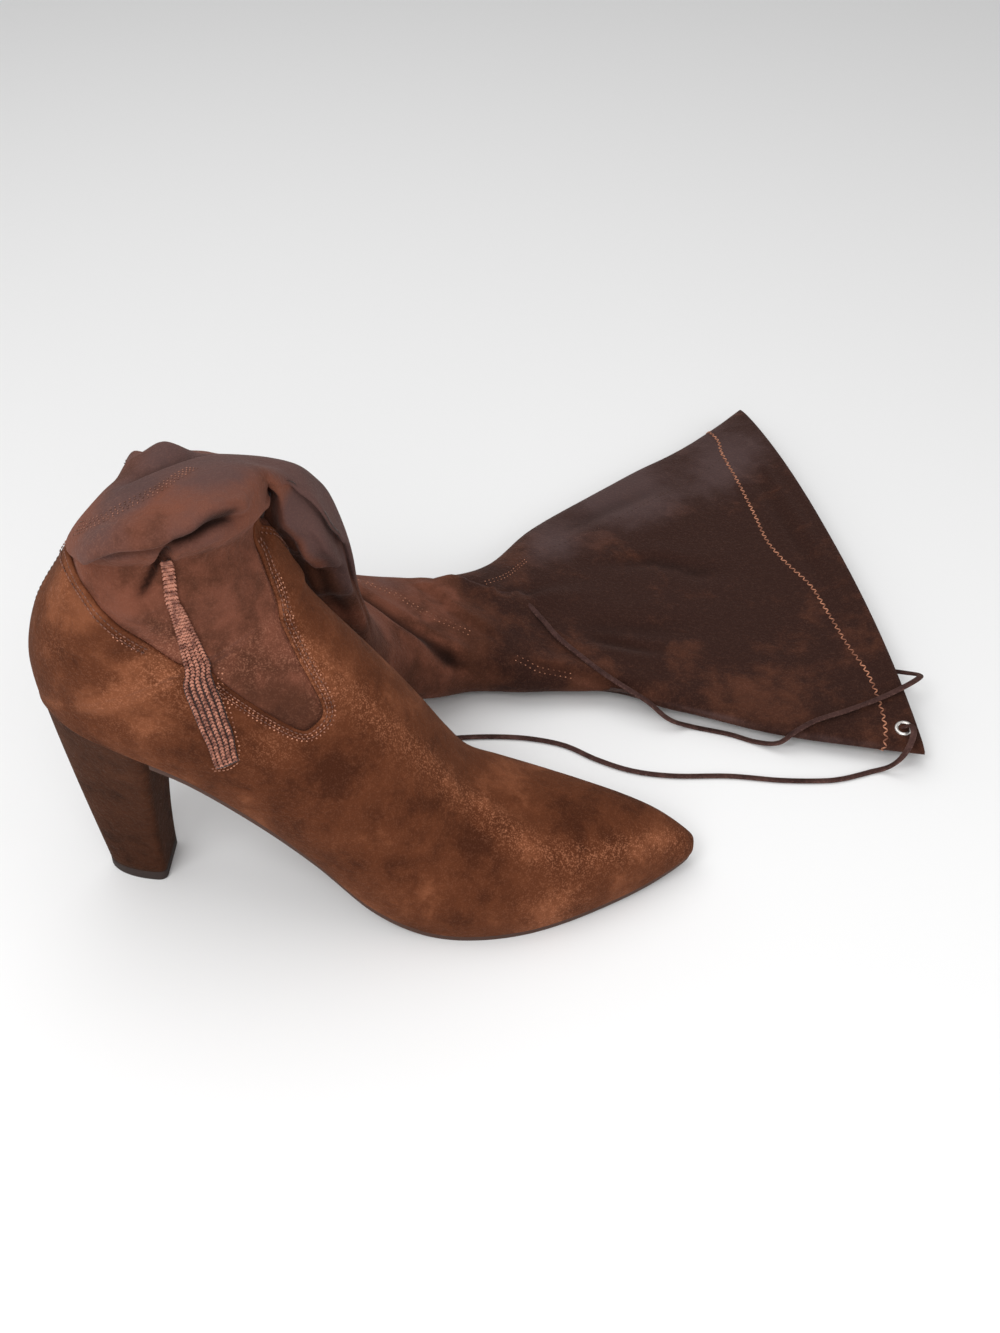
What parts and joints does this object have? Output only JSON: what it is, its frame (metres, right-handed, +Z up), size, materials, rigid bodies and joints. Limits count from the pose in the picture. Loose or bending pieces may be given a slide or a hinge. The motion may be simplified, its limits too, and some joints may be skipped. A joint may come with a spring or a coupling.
{
  "type": "over-the-knee boot",
  "caption": "Left over-the-knee boot in suede, pointed toe, block heel and inner ankle zip, its slack shaft fallen to the floor beside it.",
  "frame": {"origin": "middle of the heel's wearing face, on the floor", "axes": "+X from heel to toe, +Y to the outer side of the foot, +Z up"},
  "size_m": [0.3436, 0.3851, 0.1812],
  "materials": {
    "chestnut_suede": "brushed microsuede with a nap",
    "stretch_suede": "stretch microsuede",
    "sole_leather": "smooth, dark",
    "heel_suede": "brushed microsuede wrapped round the heel",
    "lift_rubber": "matt",
    "insole_lining": "woven lining",
    "zip_tape_weave": "woven tape",
    "zip_coil_nylon": "nylon coil",
    "eyelet_nickel": "nickel plated",
    "lace_cord": "flat folded suede lace"
  },
  "bodies": {
    "root": {"upper_foot": "chestnut_suede", "shaft_inner": "stretch_suede", "shaft_outer": "stretch_suede", "outsole": "sole_leather", "heel_block": "heel_suede", "top_lift": "lift_rubber", "insole": "insole_lining", "zip_tape": "zip_tape_weave", "zip_coil": "zip_coil_nylon", "eyelet_near": "eyelet_nickel", "eyelet_far": "eyelet_nickel", "lace_near": "lace_cord", "lace_far": "lace_cord"}
  },
  "joints": []
}
